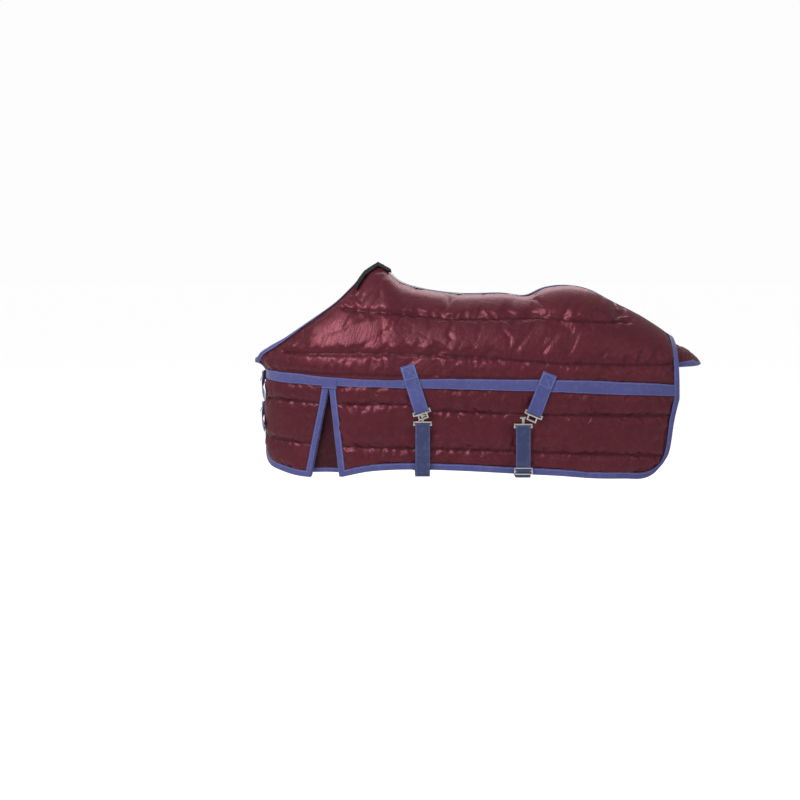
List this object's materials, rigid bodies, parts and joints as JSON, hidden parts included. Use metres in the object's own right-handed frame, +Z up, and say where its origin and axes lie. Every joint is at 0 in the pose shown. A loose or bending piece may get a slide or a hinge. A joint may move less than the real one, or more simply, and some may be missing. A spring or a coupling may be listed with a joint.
{
  "type": "turnout rug",
  "caption": "Quilted horse rug shaped as worn, with bound edges, side band, shoulder gussets, tail flap, belly surcingles with T-hooks, chest buckles and a fleece withers pad.",
  "frame": {"origin": "middle of the flat underside of the back seam tape, at the low of the back, where the rug rests on the horse", "axes": "+X towards the tail, -X towards the head, -Y the near (left) side with the surcingle hooks, +Z up"},
  "size_m": [1.6275, 0.616, 0.744],
  "materials": {
    "shell_cloth": "shiny maroon nylon, quilted",
    "lining_cloth": "dark navy nylon lining, quilted",
    "wadding": "white polyester wadding",
    "binding_tape": "slate blue woven binding tape",
    "webbing": "blue woven polypropylene webbing",
    "fleece": "black fleece",
    "plated_metal": "bright nickel plate"
  },
  "bodies": {
    "rug": {"near_upper_lining": "lining_cloth", "near_upper_wadding": "wadding", "near_upper_shell": "shell_cloth", "near_front_lining": "lining_cloth", "near_front_wadding": "wadding", "near_front_shell": "shell_cloth", "near_lower_lining": "lining_cloth", "near_lower_wadding": "wadding", "near_lower_shell": "shell_cloth", "near_side_band": "binding_tape", "near_neck_binding": "binding_tape", "near_front_binding": "binding_tape", "near_rear_binding": "binding_tape", "near_gusset_patch": "webbing", "near_gusset": "shell_cloth", "near_gusset_binding": "binding_tape", "off_upper_lining": "lining_cloth", "off_upper_wadding": "wadding", "off_upper_shell": "shell_cloth", "off_front_lining": "lining_cloth", "off_front_wadding": "wadding", "off_front_shell": "shell_cloth", "off_lower_lining": "lining_cloth", "off_lower_wadding": "wadding", "off_lower_shell": "shell_cloth", "off_side_band": "binding_tape", "off_neck_binding": "binding_tape", "off_front_binding": "binding_tape", "off_rear_binding": "binding_tape", "off_gusset_patch": "webbing", "off_gusset": "shell_cloth", "off_gusset_binding": "binding_tape", "spine_binding": "binding_tape", "spine_seam_tape": "binding_tape", "withers_pad": "fleece", "front_upper_strap": "webbing", "front_off_anchor": "webbing", "rear_upper_strap": "webbing", "rear_off_anchor": "webbing", "upper_chest_strap": "webbing", "upper_chest_tab": "webbing", "lower_chest_strap": "webbing", "lower_chest_tab": "webbing"},
    "tail_flap": {"tail_flap": "shell_cloth", "tail_flap_binding": "binding_tape"},
    "front_eye": {"front_eye_plate": "plated_metal"},
    "front_belly": {"front_belly_strap": "webbing"},
    "front_hook": {"front_t_hook": "plated_metal"},
    "front_slide": {"front_slider": "plated_metal"},
    "rear_eye": {"rear_eye_plate": "plated_metal"},
    "rear_belly": {"rear_belly_strap": "webbing"},
    "rear_hook": {"rear_t_hook": "plated_metal"},
    "rear_slide": {"rear_slider": "plated_metal"},
    "upper_buckle": {"upper_chest_buckle": "plated_metal"},
    "upper_prong": {"upper_chest_prong": "plated_metal"},
    "lower_buckle": {"lower_chest_buckle": "plated_metal"},
    "lower_prong": {"lower_chest_prong": "plated_metal"}
  },
  "joints": [
    {"name": "tail_flap_lift", "type": "hinge", "parent": "rug", "child": "tail_flap", "pos_m": [0.7, 0, -0.166], "axis": [0, -1, 0], "range_deg": [0, 70]},
    {"name": "front_eye_swing", "type": "hinge", "parent": "rug", "child": "front_eye", "pos_m": [-0.22033, -0.307, -0.37649], "axis": [-0.9528, 0, -0.3035], "range_deg": [0, 80]},
    {"name": "rear_eye_swing", "type": "hinge", "parent": "rug", "child": "rear_eye", "pos_m": [0.16047, -0.307, -0.38454], "axis": [-0.9219, 0, 0.3875], "range_deg": [0, 80]},
    {"name": "front_belly_drop", "type": "hinge", "parent": "rug", "child": "front_belly", "pos_m": [-0.21566, 0.303, -0.58521], "axis": [1, 0, 0], "range_deg": [0, 70]},
    {"name": "front_t_hook_swing", "type": "hinge", "parent": "front_belly", "child": "front_hook", "pos_m": [-0.21566, -0.299, -0.42523], "axis": [1, 0, 0], "range_deg": [-7, 7]},
    {"name": "rear_belly_drop", "type": "hinge", "parent": "rug", "child": "rear_belly", "pos_m": [0.12434, 0.303, -0.58889], "axis": [1, 0, 0], "range_deg": [0, 70]},
    {"name": "rear_t_hook_swing", "type": "hinge", "parent": "rear_belly", "child": "rear_hook", "pos_m": [0.12434, -0.299, -0.43311], "axis": [1, 0, 0], "range_deg": [-7, 7]},
    {"name": "front_slider_slide", "type": "slide", "parent": "front_belly", "child": "front_slide", "axis": [0, 1, 0], "range_m": [-0.08, 0.2]},
    {"name": "rear_slider_slide", "type": "slide", "parent": "rear_belly", "child": "rear_slide", "axis": [0, 0, 1], "range_m": [0, 0.1]},
    {"name": "upper_buckle_swing", "type": "hinge", "parent": "rug", "child": "upper_buckle", "pos_m": [-0.7962, 0.04509, -0.29554], "axis": [0, 0.3429, -0.9394], "range_deg": [0, 75]},
    {"name": "upper_prong_lift", "type": "hinge", "parent": "upper_buckle", "child": "upper_prong", "pos_m": [-0.8016, 0.04415, -0.29588], "axis": [0, 0.3429, -0.9394], "range_deg": [0, 80]},
    {"name": "lower_buckle_swing", "type": "hinge", "parent": "rug", "child": "lower_buckle", "pos_m": [-0.7962, 0.04509, -0.40854], "axis": [0, 0.3429, -0.9394], "range_deg": [0, 75]},
    {"name": "lower_prong_lift", "type": "hinge", "parent": "lower_buckle", "child": "lower_prong", "pos_m": [-0.8016, 0.04415, -0.40888], "axis": [0, 0.3429, -0.9394], "range_deg": [0, 80]}
  ]
}
